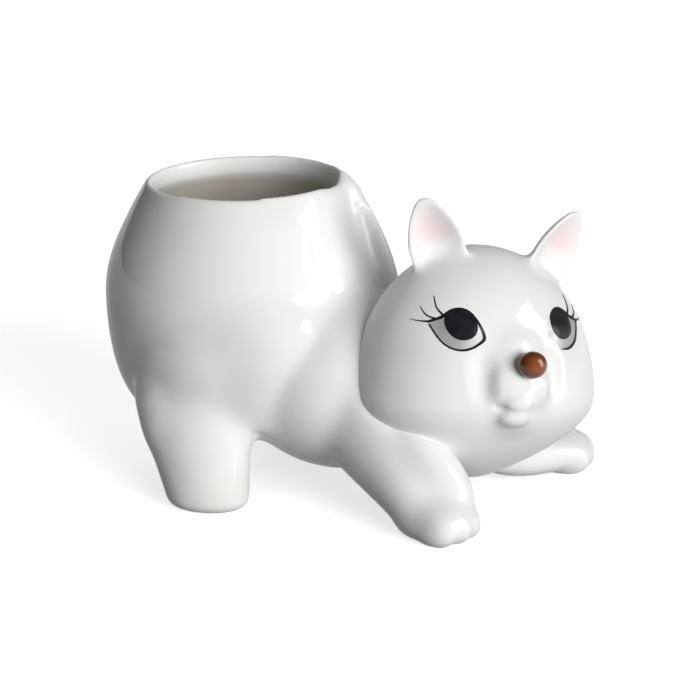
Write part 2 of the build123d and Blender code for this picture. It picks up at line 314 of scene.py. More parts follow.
def glaze(piece, slot):
    """Gives a finished piece the material of its slot and its body."""
    material = bpy.data.materials.get(f"{slot}_looks") or MATERIALS[slot]()
    piece.data.materials.clear()
    piece.data.materials.append(material)
    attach(piece, "root")


def in_scene(name, data):
    """New object with the given data, linked to the scene."""
    made = bpy.data.objects.new(name, data)
    bpy.context.scene.collection.objects.link(made)
    return made


def nothing_selected():
    """Leaves edit mode and deselects everything."""
    if bpy.context.object and bpy.context.object.mode != "OBJECT":
        bpy.ops.object.mode_set(mode="OBJECT")
    bpy.ops.object.select_all(action="DESELECT")


def only(piece):
    """Makes one object the only selected one and the active one."""
    nothing_selected()
    piece.select_set(True)
    bpy.context.view_layer.objects.active = piece


def finish_modifier(piece, kind, **settings):
    """Adds a modifier with its settings and applies it."""
    only(piece)
    modifier = piece.modifiers.new(kind.title(), kind)
    for key, value in settings.items():
        setattr(modifier, key, value)
    bpy.ops.object.modifier_apply(modifier=modifier.name)


def edit_all(piece, *steps):
    """Runs edit-mode steps on the whole mesh of a piece."""
    only(piece)
    bpy.ops.object.mode_set(mode="EDIT")
    bpy.ops.mesh.select_all(action="SELECT")
    for step in steps:
        step()
    bpy.ops.object.mode_set(mode="OBJECT")


def unpicked(piece):
    """Makes a piece the active one, in object mode, with none of its mesh selected."""
    only(piece)
    bpy.ops.object.mode_set(mode="EDIT")
    bpy.ops.mesh.select_all(action="DESELECT")
    bpy.ops.object.mode_set(mode="OBJECT")


def casting_copy(cad_node):
    """Welded copy of a CAD node as an object of its own."""
    piece = in_scene(cad_node + "_copy", frame["nodes"][cad_node].data.copy())
    edit_all(piece, lambda: bpy.ops.mesh.remove_doubles(threshold=SAME_POINT))
    return piece


def joined(name, pieces):
    """Pieces joined into the first one under a new name."""
    nothing_selected()
    for piece in pieces:
        piece.select_set(True)
    bpy.context.view_layer.objects.active = pieces[0]
    bpy.ops.object.join()
    pieces[0].name = pieces[0].data.name = name
    return pieces[0]


def outer_skin(piece, grain):
    """Fuses joined castings into one skin and drops what is enclosed in it."""
    finish_modifier(piece, "REMESH", mode="VOXEL", voxel_size=grain, use_smooth_shade=True)
    highest = max(piece.data.vertices, key=lambda vertex: vertex.co.z).index
    unpicked(piece)
    piece.data.vertices[highest].select = True
    bpy.ops.object.mode_set(mode="EDIT")
    bpy.ops.mesh.select_linked()
    bpy.ops.mesh.select_all(action="INVERT")
    bpy.ops.mesh.delete(type="VERT")
    bpy.ops.object.mode_set(mode="OBJECT")


def finish_weighted(piece, share_of, kind, **settings):
    """Applies a modifier to each vertex by a share worked out from its place."""
    group = piece.vertex_groups.new(name="share")
    for vertex in piece.data.vertices:
        group.add((vertex.index,), share_of(vertex.co), "REPLACE")
    finish_modifier(piece, kind, vertex_group="share", **settings)
    piece.vertex_groups.clear()


def tint(piece, colour_name, share_of):
    """Colour attribute that goes from white to a tint by a share worked out for each vertex."""
    layer = piece.data.attributes.new("tint", "FLOAT_COLOR", "POINT")
    full = Vector(colour(colour_name))
    white = Vector((1, 1, 1, 1))
    for vertex in piece.data.vertices:
        layer.data[vertex.index].color = white.lerp(full, share_of(vertex))


def ease(value, start, end):
    """Goes smoothly from 0 at start to 1 at end."""
    share = min(max((value - start) / (end - start), 0.0), 1.0)
    return share * share * (3 - 2 * share)


def to_line(place, line):
    """Distance of a place from a line through two or more points."""
    distances = []
    for start, end in zip(line, line[1:]):
        run = end - start
        share = (place - start).dot(run) / run.length_squared
        distances.append((place - start - min(max(share, 0.0), 1.0) * run).length)
    return min(distances)


def press(piece, line, depth, reach):
    """Presses the clay in along a line, in metres; a negative depth swells it."""
    finish_weighted(
        piece,
        lambda place: 1.0 - ease(to_line(place, line), 0.0, reach),
        "DISPLACE",
        strength=-depth,
        mid_level=0.0,
    )


def head_place():
    """Place of the head's own axes: X out of the face, Y to the animal's left, Z up."""
    s = sizes()
    turn = Matrix.Rotation(-s.head_turn, 4, "Z")
    lift = Matrix.Rotation(-s.head_lift, 4, "Y")
    tilt = Matrix.Rotation(s.head_tilt, 4, "X")
    return Matrix.Translation(s.head_centre) @ turn @ lift @ tilt


def ball(name, axes, size, place, turn=(0, 0, 0)):
    """Egg of slip in the given axes, its size and place in millimetres, turned by degrees about X, Y, Z."""
    nothing_selected()
    bpy.ops.mesh.primitive_uv_sphere_add(segments=64, ring_count=40, radius=0.5)
    piece = bpy.context.object
    piece.name = name
    local = Matrix.LocRotScale(
        Vector(place) * MM, Euler([math.radians(step) for step in turn]), Vector(size) * MM
    )
    piece.matrix_world = axes @ local
    bpy.ops.object.transform_apply(location=True, rotation=True, scale=True)
    return piece


BODY_MASSES = {
    # lumps of slip on the body: size and place in millimetres, turn in degrees
    "right_haunch": ((90, 49, 76), (-33, -30, 51)),
    "left_haunch": ((90, 49, 76), (-33, 30, 51)),
    "right_elbow": ((40, 20, 17), (59, -38, 23), (0, 43, 0)),
    "left_forearm": ((46, 20, 15), (66, 31, 8.2), (0, 0, 46)),
}
# egg inside the pot's wall that keeps the lumps out of the cavity: size and place in millimetres
POT_HOLLOW = ((110, 110, 139), (POT_AXIS / MM, 0, 45))
BODY_HOLD = (
    # spots that keep more of their shape while the body melts together: place and reach in millimetres,
    # and the share that is kept
    ((76, -48, 6), 20, 0.45),
    ((82, 48, 6), 20, 0.45),
    ((5, -42, 54), 24, 0.7),
    ((5, 42, 54), 24, 0.7),
    ((4, 12, 98), 22, 0.75),
    ((18, 12, 76), 16, 0.75),
)
BODY_LINES = (
    # lines pressed into the soft clay: depth, reach and points in millimetres
    # the groove beside the ridge of the back
    (3.0, 4.6, ((6, 10, 100), (9.8, 8.4, 91), (13.4, 7.9, 80), (16, 7, 72))),
    # the swelling at the back of each hind leg's thigh
    (-1.6, 15, ((-53, -48, 35), (-50, -51, 27))),
    (-1.6, 15, ((-53, 48, 35), (-50, 51, 27))),
)
# rounds of smoothing: by weight where the body's and the head's masses melt together, then all over
BODY_MELT_ROUNDS = 120
HEAD_MELT_ROUNDS = 110
POLISH_ROUNDS = 4
# edges of the body that are sharper than this are shaded as edges
BODY_CREASE = math.radians(50)

# lean of the mouth in metres, the heights over which it comes in and the reach ahead where it fades
RIM_LEAN = 0.0028
LEAN_HEIGHT = (0.070, 0.108)
LEAN_AHEAD = (0.036, 0.047)

# where the body melts less: the rim by height and radius, apart from the top of the ridge, the drain by
# radius and height, and the soles by height, all in metres
RIM_HEIGHT = (0.094, 0.102)
RIM_RADIUS = (0.044, 0.056)
RIM_KEPT = 0.97
RIDGE_TOP = Vector((-4, 6, 112)) * MM
RIDGE_REACH = (0.005, 0.014)
RIDGE_FREED = 0.8
DRAIN_RADIUS = (0.010, 0.018)
DRAIN_HEIGHT = (0.026, 0.032)
SOLE_HEIGHT = (0.001, 0.008)
SOLE_MELT = 0.15

# inside of the pot in metres: middle height, half height and radius of its egg, radius of its collar,
# underside and upper limit of its floor, and the heights over which the swilled glaze and the painted
# shade that darkens the cavity end at the collar
INSIDE_MIDDLE = 0.045
INSIDE_RISE = 0.0725
INSIDE_RADIUS = 0.057
COLLAR_RADIUS = 0.040
FLOOR_UNDERSIDE = 0.018
FLOOR_LIMIT = 0.06
SWILL_AND_SHADE_END = (0.100, 0.105)
# how far a normal points outwards on the wall, at most, and upwards on the floor, at least
WALL_FACING = -0.05
FLOOR_FACING = 0.5


def rim_share(place):
    """How far the mouth leans towards the head: all of it at the rim, none at the ridge and the belly."""
    return ease(place.z, *LEAN_HEIGHT) * (1.0 - ease(place.x - POT_AXIS, *LEAN_AHEAD))


def body_melt(place):
    """How far the slip melts the seams at a place of the body: hardly at the rim, not at the drain."""
    from_axis = math.hypot(place.x - POT_AXIS, place.y)
    at_ridge = 1.0 - ease((place - RIDGE_TOP).length, *RIDGE_REACH)
    at_rim = ease(place.z, *RIM_HEIGHT) * (1.0 - ease(from_axis, *RIM_RADIUS))
    melt = 1.0 - RIM_KEPT * at_rim * (1.0 - RIDGE_FREED * at_ridge)
    melt *= 1.0 - (1.0 - ease(from_axis, *DRAIN_RADIUS)) * (1.0 - ease(place.z, *DRAIN_HEIGHT))
    melt *= SOLE_MELT + (1.0 - SOLE_MELT) * ease(place.z, *SOLE_HEIGHT)
    for spot, reach, kept in BODY_HOLD:
        near = 1.0 - ease((place - Vector(spot) * MM).length, 0.5 * reach * MM, reach * MM)
        melt *= 1.0 - kept * near
    return melt


class PLANTER_OT_body(bpy.types.Operator):
    """Joins the pot, the tail and the four legs into one glazed body"""

    bl_idname = "planter.body"
    bl_label = "Glazed body"

    def execute(self, context):
        limbs = [casting_copy(limb) for limb in LIMBS]
        for limb in limbs:
            finish_modifier(limb, "DISPLACE", strength=sizes().slip_seam, mid_level=0.0)
        lumps = [ball(name, Matrix(), *mass) for name, mass in BODY_MASSES.items()]
        hollow = ball("pot_hollow", Matrix(), *POT_HOLLOW)
        for lump in lumps:
            finish_modifier(lump, "BOOLEAN", operation="DIFFERENCE", object=hollow)
        bpy.data.objects.remove(hollow)
        body = joined("glazed_body", [casting_copy("pot_body"), *limbs, *lumps])
        outer_skin(body, sizes().body_grain)
        finish_weighted(body, body_melt, "SMOOTH", factor=0.5, iterations=BODY_MELT_ROUNDS)
        for depth, reach, points in BODY_LINES:
            press(body, [Vector(point) * MM for point in points], depth * MM, reach * MM)
        finish_weighted(body, rim_share, "DISPLACE", direction="X", strength=RIM_LEAN, mid_level=0.0)
        finish_modifier(body, "SMOOTH", factor=0.5, iterations=POLISH_ROUNDS)
        edit_all(
            body,
            lambda: bpy.ops.mesh.bisect(
                plane_co=(0, 0, 0),
                plane_no=(0, 0, 1),
                clear_inner=True,
                use_fill=True,
                threshold=SAME_POINT,
            ),
        )
        bpy.ops.object.shade_smooth_by_angle(angle=BODY_CREASE)
        # painted shade: the inside of the pot is darkened below its collar, along with its swilled glaze
        tint(body, "swill_and_shade", self.swill_and_shade)
        glaze(body, "white_glaze")
        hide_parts("pot_body", *LIMBS)
        return {"FINISHED"}

    def swill_and_shade(self, vertex):
        """Share of swilled glaze and painted shade: 1 on the pot's inner wall and floor below its collar, 0
        outside.
        """
        outwards = Vector((vertex.co.x - POT_AXIS, vertex.co.y, 0))
        height = vertex.co.z
        on_wall = vertex.normal.dot(outwards.normalized()) < WALL_FACING
        on_floor = vertex.normal.z > FLOOR_FACING and height < FLOOR_LIMIT
        rise = (height - INSIDE_MIDDLE) / INSIDE_RISE
        wall = max(COLLAR_RADIUS, INSIDE_RADIUS * math.sqrt(max(0.0, 1.0 - rise ** 2)))
        if outwards.length > wall or height < FLOOR_UNDERSIDE or not (on_wall or on_floor):
            return 0.0
        return 1.0 - ease(height, *SWILL_AND_SHADE_END)


# the ears in the head's axes, in millimetres and degrees: the left ear's root, how far an ear tips forward,
# splays and turns its cup outwards, and how far both lean to the head's right, or below 0 to its left
EAR_ROOT = (9, 22.5, 43)
EAR_FORWARD = 4
EAR_SPLAY = 25
EAR_TURN = 24
EAR_LEAN = -4.4
# an ear's leaf in millimetres: its reach from the root to the tip and down to the foot, its width, wall and
# depth of cup; and the shares of its width that it loses at the tip and at the foot
EAR_TIP = 23.5
EAR_FOOT = 12
EAR_WIDTH = 22
EAR_WALL = 4.0
EAR_CUP = 5.4
EAR_TIP_TAPER = 0.24
EAR_FOOT_TAPER = 0.3
# heights above the root, in millimetres, where the pink starts and where it is deepest
EAR_HEM = 2.5
EAR_MIDDLE = 10


def ear_place(side):
    """Place of an ear's axes: X across it to the animal's left, Y to the tip, Z out of the cup."""
    root = Vector((EAR_ROOT[0], side * EAR_ROOT[1], EAR_ROOT[2])) * MM
    splay = Matrix.Rotation(math.radians(-side * EAR_SPLAY), 4, "X")
    forward = Matrix.Rotation(math.radians(EAR_FORWARD), 4, "Y")
    outwards = Matrix.Rotation(math.radians(side * EAR_TURN), 4, "Y")
    axes = Matrix(((0, 0, 1, 0), (1, 0, 0, 0), (0, 1, 0, 0), (0, 0, 0, 1)))
    lean = Matrix.Rotation(math.radians(EAR_LEAN), 4, "X")
    return head_place() @ lean @ Matrix.Translation(root) @ splay @ forward @ axes @ outwards


def ear_half_width(along):
    """Half the width of an ear's leaf, in metres, at a share of its height from -1 to 1."""
    taper = EAR_TIP_TAPER if along > 0 else EAR_FOOT_TAPER
    return 0.5 * EAR_WIDTH * MM * (1.0 - taper * along ** 2)


# handles of the skull's half profile, as shares of its half width, its jaw and its crown
JAW_HANDLE = 0.15
CHEEK_HANDLE_DOWN = 0.46
CHEEK_HANDLE_UP = 0.57
CROWN_HANDLE = 0.57

# how far the head's masses melt into one another, and how much less at the lips and in the ears
HEAD_MELT = 0.9
LIPS_KEPT = 0.55
EARS_KEPT = 0.77
# middle of the lips in the head's axes, and the distances from it over which they cease to be spared
LIPS = Vector((0.038, 0, -0.008))
LIPS_REACH = (0.006, 0.012)
# space round an ear in its own axes, in metres: lowest height, half width, middle and half of its depth,
# and the heights over which the leaf starts to be spared
EAR_SPACE_LOW = -0.008
EAR_SPACE_SIDE = 0.014
EAR_SPACE_MIDDLE = -0.002
EAR_SPACE_DEPTH = 0.009
EAR_SPARED = (0.000, 0.007)

# the face lies this far, in millimetres, to the left of the skull's middle
FACE_SHIFT = 1.0
FACE_MASSES = {
    # lumps of slip on the skull: size and place in millimetres
    "bridge": ((18, 24, 28), (28.5, FACE_SHIFT, 7)),
    "muzzle": ((17, 30, 22), (32.5, FACE_SHIFT, -1)),
    "lobe": ((10, 13, 9), (37.6, FACE_SHIFT - 1.5, -7)),
    "lower_lip": ((12, 14, 7.5), (34.8, FACE_SHIFT - 2.5, -12.2)),
    "chin": ((26, 34, 26), (24.5, FACE_SHIFT, -8)),
}
FACE_LINES = (
    # lines pressed into both sides of the face, given for the left: depth, reach and points in millimetres
    # the hollow beside the muzzle
    (2.0, 7.0, ((34, 14.5, 7), (34.5, 14, -2))),
    # the eyeball, which swells
    (-1.5, 7.0, ((29, 17.5, 18.5), (28, 23.5, 20))),
)
# the line of the mouth, from its right corner: depth, reach and points in millimetres
MOUTH = (0.8, 2.4, ((36.5, -8.9, -8.5), (40, -3.2, -10), (40, 3.5, -8.4)))

LID = (
    # lid line before the face, from the outer corner along the lower lid and back along the upper:
    # across, up and brush width in millimetres
    (30.2, 20.9, 0.5), (28.3, 15.6, 0.55), (24.9, 12.6, 0.65), (21.5, 11.7, 0.75), (17.6, 12.4, 0.85),
    (13.8, 14.9, 1.0), (12.7, 16.0, 1.3), (13.1, 18.3, 1.2), (14.5, 21.8, 1.0), (16.4, 25.4, 1.0),
    (19.5, 26.7, 1.0), (22.8, 25.9, 1.0), (25.3, 23.9, 0.95), (27.8, 22.7, 0.85), (30.6, 21.8, 0.7),
)
LASHES = (
    # each lash: across, up and brush width in millimetres, from the lid to the tip
    ((29.6, 22.0, 0.8), (32.0, 21.6, 0.5), (35.2, 22.6, 0.12)),
    ((27.6, 22.8, 0.8), (29.6, 23.3, 0.55), (31.2, 25.0, 0.4), (31.3, 27.2, 0.12)),
    ((25.2, 24.0, 0.8), (26.6, 25.6, 0.55), (27.1, 28.0, 0.4), (26.6, 31.0, 0.12)),
)
# the left eye's lashes are painted with a fuller brush
FULL_BRUSH = 1.4
FAR_LASHES = tuple(
    tuple((across, up, FULL_BRUSH * width) for across, up, width in lash) for lash in LASHES
)
FAR_LIDS = (
    # the left eye's lid line stays open at the inner corner: lower lid, then upper lid
    ((30.4, 21.5, 0.7), (28.3, 15.6, 1.0), (24.9, 12.6, 1.1), (21.5, 11.7, 0.8), (18.5, 12.0, 0.1)),
    ((15.0, 22.6, 0.1), (16.4, 25.2, 0.7), (19.5, 26.7, 1.0), (22.8, 25.9, 1.1), (25.3, 23.9, 1.1),
     (27.8, 22.7, 1.0), (30.6, 21.8, 0.7)),
)
# across, up and radius of a pupil in millimetres
PUPIL = (20.4, 20.9, 5.4)
# room of an eye in the head's axes, in millimetres: least ahead, then between which bounds across and up
EYE_AHEAD = 15
EYE_ACROSS = (10, 32)
EYE_UP = (11, 28)
# least share of the shade on the white of an eye, and how far across it grows to the whole
EYE_SHADE_LEAST = 0.25
EYE_SHADE_RUN = (15, 24)


class PLANTER_OT_head(bpy.types.Operator):
    """Models the head with its muzzle and draws the ears out of its crown"""

    bl_idname = "planter.head"
    bl_label = "Glazed head"

    def execute(self, context):
        masses = [self.skull()]
        masses += [ball(name, head_place(), *mass) for name, mass in FACE_MASSES.items()]
        masses += [self.ear(side) for side in SIDES.values()]
        head = joined("glazed_head", masses)
        outer_skin(head, sizes().head_grain)
        to_head = head_place().inverted()
        to_ears = [ear_place(side).inverted() for side in SIDES.values()]
        finish_weighted(
            head,
            lambda place: self.melt(to_head @ place, [to_ear @ place for to_ear in to_ears]),
            "SMOOTH",
            factor=0.5,
            iterations=HEAD_MELT_ROUNDS,
        )
        for depth, reach, points in FACE_LINES:
            for side in SIDES.values():
                self.press_face(head, depth, reach, [(x, side * y + FACE_SHIFT, z) for x, y, z in points])
        self.press_face(head, *MOUTH)
        finish_modifier(head, "SMOOTH", factor=0.5, iterations=POLISH_ROUNDS)
        bpy.ops.object.shade_smooth()
        tint(head, "eye_shade", lambda vertex: self.eye_white(to_head @ vertex.co))
        glaze(head, "white_glaze")
        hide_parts("head", "right_ear", "left_ear")
        return {"FINISHED"}

    def press_face(self, head, depth, reach, points):
        """Presses a line in the head's axes, in millimetres, into the face."""
        press(head, [head_place() @ (Vector(point) * MM) for point in points], depth * MM, reach * MM)

    def eye_white(self, place):
        """Share of the shade on the white of an eye: most at its outer corner, none outside the lids."""
        ahead, left, up = place / MM
        across = abs(left - FACE_SHIFT)
        in_room = EYE_ACROSS[0] < across < EYE_ACROSS[1] and EYE_UP[0] < up < EYE_UP[1]
        if ahead < EYE_AHEAD or not in_room:
            return 0.0
        crossings = 0
        for (x0, y0, _), (x1, y1, _) in zip(LID, LID[1:] + LID[:1]):
            if (y0 > up) != (y1 > up) and across < x0 + (up - y0) * (x1 - x0) / (y1 - y0):
                crossings += 1
        grown = EYE_SHADE_LEAST + (1.0 - EYE_SHADE_LEAST) * ease(across, *EYE_SHADE_RUN)
        return grown * (crossings % 2)

    def ear(self, side):
        """Leaf of slip with a blunt edge, hollowed to a cup, with a foot that reaches into the skull."""
        nothing_selected()
        bpy.ops.mesh.primitive_uv_sphere_add(segments=64, ring_count=48, radius=1)
        ear = bpy.context.object
        for vertex in ear.data.vertices:
            across, along, out = vertex.co
            up = along * (EAR_TIP if along > 0 else EAR_FOOT)
            wall = 0.5 * EAR_WALL * math.copysign(math.sqrt(abs(out)), out)
            vertex.co = (across * ear_half_width(along), up * MM, (wall - EAR_CUP * out ** 2) * MM)
        ear.data.transform(ear_place(side))
        return ear

    def skull(self):
        """Skull turned from its half profile, widest at the cheeks."""
        s = sizes()
        half, rise, drop = s.head_width / 2, s.crown_rise, s.jaw_drop
        nothing_selected()
        bpy.ops.curve.primitive_bezier_curve_add()
        profile = bpy.context.object
        profile.data.resolution_u = 32
        spline = profile.data.splines[0]
        spline.bezier_points.add(1)
        knots = (
            ((0, -drop), (0, -drop), (JAW_HANDLE * half, -drop)),
            ((half, 0), (half, -CHEEK_HANDLE_DOWN * drop), (half, CHEEK_HANDLE_UP * rise)),
            ((0, rise), (CROWN_HANDLE * half, rise), (0, rise)),
        )
        for point, knot in zip(spline.bezier_points, knots):
            point.handle_left_type = point.handle_right_type = "FREE"
            point.co, point.handle_left, point.handle_right = [(across, 0, up) for across, up in knot]
        only(profile)
        bpy.ops.object.convert(target="MESH")
        skull = bpy.context.object
        finish_modifier(
            skull,
            "SCREW",
            steps=96,
            render_steps=96,
            use_merge_vertices=True,
            merge_threshold=SAME_POINT,
        )
        edit_all(
            skull,
            lambda: bpy.ops.mesh.remove_doubles(threshold=SAME_POINT),
            lambda: bpy.ops.mesh.normals_make_consistent(inside=False),
        )
        squeeze = Matrix.Diagonal((s.head_depth / s.head_width, 1, 1, 1))
        skull.matrix_world = head_place() @ Matrix.Translation((0, 0, -s.cheek_drop)) @ squeeze
        bpy.ops.object.transform_apply(location=True, rotation=True, scale=True)
        return skull

    def melt(self, in_head, in_ears):
        """How far a place melts into what is beside it: less at the lips and in the leaves of the ears."""
        melt = HEAD_MELT - LIPS_KEPT * (1.0 - ease((in_head - LIPS).length, *LIPS_REACH))
        for place in in_ears:
            in_leaf = place.y > EAR_SPACE_LOW and abs(place.x) < EAR_SPACE_SIDE
            if in_leaf and abs(place.z - EAR_SPACE_MIDDLE) < EAR_SPACE_DEPTH:
                melt = HEAD_MELT - EARS_KEPT * ease(place.y, *EAR_SPARED)
        return melt


# the pink ends at this share of the way into the cup, and where a normal points less than this out of it
LINING_EDGE = 0.06
LINING_FACING = 0.1
# middle and half depth of the space, out of the cup and in metres, in which the pink lies
LINING_MIDDLE = -0.003
LINING_DEPTH = 0.008


class PLANTER_OT_ear_linings(bpy.types.Operator):
    """Lifts the inside of each ear's cup off the head as a coat of pink glaze"""

    bl_idname = "planter.ear_linings"
    bl_label = "Ear linings"

    def execute(self, context):
        for name, side in SIDES.items():
            self.lining(name, side)
        return {"FINISHED"}

    def lining(self, name, side):
        """Coat in one ear, with how deep in the cup each point lies kept as an attribute."""
        piece = in_scene(f"{name}_ear_pink", bpy.data.objects["glazed_head"].data.copy())
        to_ear = ear_place(side).inverted()
        turn = to_ear.to_3x3()
        unpicked(piece)
        for face in piece.data.polygons:
            outside = self.depth(to_ear @ face.center) < LINING_EDGE
            face.select = outside or (turn @ face.normal).z < LINING_FACING
        bpy.ops.object.mode_set(mode="EDIT")
        bpy.ops.mesh.delete(type="FACE")
        bpy.ops.mesh.select_all(action="DESELECT")
        bpy.ops.mesh.select_non_manifold()
        bpy.ops.mesh.vertices_smooth(factor=0.5, repeat=6)
        bpy.ops.object.mode_set(mode="OBJECT")
        wash = piece.data.attributes.new("wash", "FLOAT", "POINT")
        for vertex in piece.data.vertices:
            wash.data[vertex.index].value = self.depth(to_ear @ vertex.co)
        finish_modifier(piece, "SOLIDIFY", thickness=sizes().wash_coat, offset=1.0)
        bpy.ops.object.shade_smooth()
        glaze(piece, "pink_glaze")
        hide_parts(f"{name}_ear_lining")

    def depth(self, place):
        """Share of the way from the edge of an ear's leaf to its middle."""
        up = place.y / MM - EAR_MIDDLE
        share = up / (EAR_TIP - EAR_MIDDLE if up > 0 else EAR_MIDDLE - EAR_HEM)
        if abs(share) > 1.0 or abs(place.z - LINING_MIDDLE) > LINING_DEPTH:
            return 0.0
        half = ear_half_width(place.y / (EAR_TIP * MM))
        return max(0.0, 1.0 - math.hypot(share, place.x / half))


# distance before the head's centre at which a drawing stands, in metres, before it is laid on the head
DRAWING_AHEAD = 0.07
# height of the enamel's underside above the glaze, and the distance at which its points count as one
ENAMEL_LIFT = 0.00003
ENAMEL_SAME_POINT = 3e-6
# edges of the enamel that are sharper than this are shaded as edges
ENAMEL_CREASE = math.radians(40)


class PLANTER_OT_eyes(bpy.types.Operator):
    """Paints both eyes on the head: a pupil, the lid line and three lashes each"""

    bl_idname = "planter.eyes"
    bl_label = "Painted eyes"

    def execute(self, context):
        brush = self.brush()
        for name, side in SIDES.items():
            pupil = self.pupil(f"{name}_eye_black", side)
            strokes = (*FAR_LIDS, *FAR_LASHES) if name == "left" else (LID, *LASHES)
            lines = [
                self.stroke(f"{name}_stroke_{index}", points, side, brush)
                for index, points in enumerate(strokes)
            ]
            lids = joined(f"{name}_eye_brushwork", lines)
            for piece, cad_node in ((pupil, f"{name}_eye_pupil"), (lids, f"{name}_eye_lines")):
                self.lay_on_head(piece)
                glaze(piece, "black_enamel")
                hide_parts(cad_node)
        bpy.data.objects.remove(brush)
        return {"FINISHED"}

    def brush(self):
        """Flat bristle line, a millimetre wide, that a stroke is drawn with."""
        nothing_selected()
        bpy.ops.curve.primitive_nurbs_path_add()
        path = bpy.context.object
        path.data.splines.clear()
        spline = path.data.splines.new("POLY")
        spline.points.add(2)
        for point, across in zip(spline.points, (-0.5, 0.0, 0.5)):
            point.co = (across * MM, 0, 0, 1)
        path.data.dimensions = "2D"
        path.data.fill_mode = "NONE"
        return path

    def stroke(self, name, points, side, brush):
        """Brush stroke led by points in the plane before the face, as a flat mesh."""
        nothing_selected()
        bpy.ops.curve.primitive_nurbs_path_add()
        path = bpy.context.object
        path.name = name
        path.data.dimensions = "2D"
        path.data.bevel_mode = "OBJECT"
        path.data.bevel_object = brush
        path.data.resolution_u = 10
        path.data.splines.clear()
        spline = path.data.splines.new("NURBS")
        spline.points.add(len(points) - 1)
        for point, (across, up, width) in zip(spline.points, points):
            point.co = ((side * across + FACE_SHIFT) * MM, up * MM, 0, 1)
            point.radius = width
        spline.order_u = 3
        spline.use_endpoint_u = True
        only(path)
        bpy.ops.object.convert(target="MESH")
        return self.before_face(bpy.context.object)

    def before_face(self, piece):
        """Stands a flat drawing up before the face: its X to the animal's left, its Y up."""
        stand = Matrix(((0, 0, 1, DRAWING_AHEAD), (1, 0, 0, 0), (0, 1, 0, 0), (0, 0, 0, 1)))
        piece.data.transform(stand)
        piece.matrix_world = head_place()
        return piece

    def pupil(self, name, side):
        """Round of black under the upper lid, as a flat mesh pressed from a grid."""
        across, up, radius = PUPIL
        nothing_selected()
        bpy.ops.mesh.primitive_grid_add(x_subdivisions=24, y_subdivisions=24, size=2)
        piece = bpy.context.object
        piece.name = piece.data.name = name
        for vertex in piece.data.vertices:
            x, y = vertex.co.x, vertex.co.y
            vertex.co.x = (side * across + FACE_SHIFT + radius * x * math.sqrt(1 - y * y / 2)) * MM
            vertex.co.y = (up + radius * y * math.sqrt(1 - x * x / 2)) * MM
        return self.before_face(piece)

    def lay_on_head(self, piece):
        """Lays a drawing on the head along the face's axis and gives it the enamel's thickness."""
        finish_modifier(
            piece,
            "SHRINKWRAP",
            target=bpy.data.objects["glazed_head"],
            wrap_method="PROJECT",
            use_project_x=True,
            use_negative_direction=True,
            use_positive_direction=False,
            offset=ENAMEL_LIFT,
        )
        only(piece)
        bpy.ops.object.transform_apply(location=True, rotation=True, scale=True)
        edit_all(
            piece,
            lambda: bpy.ops.mesh.remove_doubles(threshold=ENAMEL_SAME_POINT),
            lambda: bpy.ops.mesh.normals_make_consistent(inside=False),
        )
        forward = head_place().to_3x3() @ Vector((1, 0, 0))
        if sum(face.normal.dot(forward) * face.area for face in piece.data.polygons) < 0:
            edit_all(piece, bpy.ops.mesh.flip_normals)
        finish_modifier(piece, "SOLIDIFY", thickness=sizes().enamel_coat, offset=1.0)
        bpy.ops.object.shade_smooth_by_angle(angle=ENAMEL_CREASE)


# the nose in the head's axes: size and place in millimetres, turn in degrees
NOSE_SIZE = (9.4, 10.8, 9.9)
NOSE_PLACE = (43.2, 1.9, 7.2)
NOSE_TURN = (0, -8, 0)


class PLANTER_OT_nose(bpy.types.Operator):
    """Models the nose as a button of brown glaze on the bridge"""

    bl_idname = "planter.nose"
    bl_label = "Nose"

    def execute(self, context):
        nose = ball("nose_button", head_place(), NOSE_SIZE, NOSE_PLACE, NOSE_TURN)
        finish_modifier(nose, "SUBSURF", levels=1, render_levels=1)
        to_head = head_place().inverted()
        # painted shade: a share that grows from the middle of the nose to its rim, where the brown is
        # darkened
        rim_shade = nose.data.attributes.new("rim_shade", "FLOAT", "POINT")
        for vertex in nose.data.vertices:
            aside = (to_head @ vertex.co) / MM - Vector(NOSE_PLACE)
            off_middle = math.hypot(2 * aside.y / NOSE_SIZE[1], 2 * aside.z / NOSE_SIZE[2])
            rim_shade.data[vertex.index].value = min(1.0, off_middle)
        bpy.ops.object.shade_smooth()
        glaze(nose, "brown_glaze")
        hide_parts("nose")
        return {"FINISHED"}


# the photograph's camera: its turn towards the animal's front, its rise, its distance from its target in
# metres, and its lens in millimetres
VIEW_TURN = math.radians(27)
VIEW_RISE = math.radians(17)
VIEW_RANGE = 1.3
VIEW_TARGET = Vector((12.73, -15.58, 55)) * MM
LENS = 180.7

# each sun: strength, spread in degrees, and how far it stands to the camera's right, up and towards it
SUNS = {
    "main_light": (3.5, 40, (0.54, -0.03, 0.84)),
    "back_light": (1.8, 60, (0.1, 0.4, -0.91)),
}
# the strip: width and height in metres, watts, distance from the target, and where it stands, as for a sun
STRIP_SIZE = (0.62, 1.0)
STRIP_WATTS = 15.0
STRIP_RANGE = 1.3
STRIP_STAND = (0.925, 0.25, 0.285)

# the table's size in metres, its colour and glow as they are seen, and the colour that other light meets
FLOOR_SIZE = 12
FLOOR_PALE = "F4F4F4"
FLOOR_GLOW = 0.68
FLOOR_DIM = "454545"
ROOM_LIGHT = 0.15
PLAIN_WHITE = "FFFFFF"


def from_view(across, rise, near):
    """Direction given by its shares to the photograph's right, up, and towards its camera."""
    towards = Vector((
        math.sin(VIEW_TURN) * math.cos(VIEW_RISE),
        -math.cos(VIEW_TURN) * math.cos(VIEW_RISE),
        math.sin(VIEW_RISE),
    ))
    right = Vector((math.cos(VIEW_TURN), math.sin(VIEW_TURN), 0))
    return across * right + rise * towards.cross(right) + near * towards


